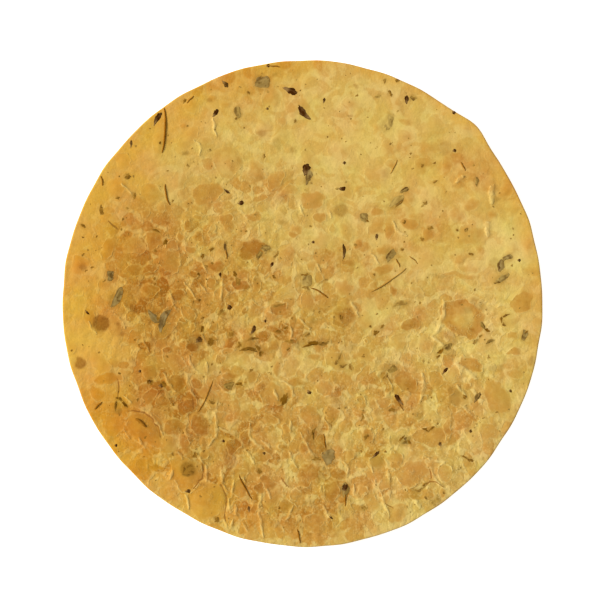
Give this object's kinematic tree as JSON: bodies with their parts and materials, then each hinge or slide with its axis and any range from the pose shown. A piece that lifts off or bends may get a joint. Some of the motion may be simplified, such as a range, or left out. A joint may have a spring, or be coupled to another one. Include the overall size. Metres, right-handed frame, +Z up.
{
  "type": "khakhra",
  "caption": "Thin round crisp flatbread, roasted and blistered, with flakes of dried leaf, dark seed hulls and stalks baked into its top; it lies flat on a table or plate.",
  "frame": {"origin": "on the surface that the flatbread lies on, under the middle of its outline's box", "axes": "+Z up out of the shown face, +X to the right and +Y to the top of the picture"},
  "size_m": [0.1787, 0.1815, 0.0037],
  "materials": {
    "crust": "matte",
    "leaf": "matte",
    "hull": "matte",
    "stalk": "matte"
  },
  "bodies": {
    "root": {"khakhra": "crust"}
  },
  "joints": []
}
